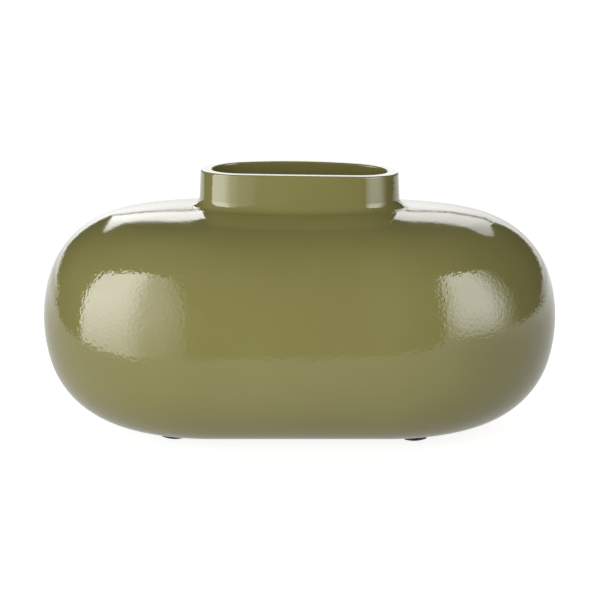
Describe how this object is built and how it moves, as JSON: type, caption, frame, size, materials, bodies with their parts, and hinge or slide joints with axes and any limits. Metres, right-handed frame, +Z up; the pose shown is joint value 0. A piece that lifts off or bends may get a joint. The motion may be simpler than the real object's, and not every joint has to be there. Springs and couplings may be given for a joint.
{
  "type": "pillow vase",
  "caption": "Low, wide, hollow metal vase with a racetrack outline, softly domed top and underside, a thick upright racetrack collar round the mouth and domed rubber feet.",
  "frame": {"origin": "on the floor, under the middle of the body, level with the flat undersides of the feet", "axes": "+X along the body's long side, +Y from front to back, +Z up through the mouth"},
  "size_m": [0.37, 0.248, 0.1906],
  "materials": {
    "lacquered_shell": "gloss",
    "foot_rubber": "satin",
    "foot_adhesive": "matte"
  },
  "bodies": {
    "root": {"lower_shell": "lacquered_shell", "upper_shell": "lacquered_shell", "neck_collar": "lacquered_shell", "foot_front_left": "foot_rubber", "foot_front_right": "foot_rubber", "foot_rear_left": "foot_rubber", "foot_rear_right": "foot_rubber", "foot_adhesive_front_left": "foot_adhesive", "foot_adhesive_front_right": "foot_adhesive", "foot_adhesive_rear_left": "foot_adhesive", "foot_adhesive_rear_right": "foot_adhesive"}
  },
  "joints": []
}
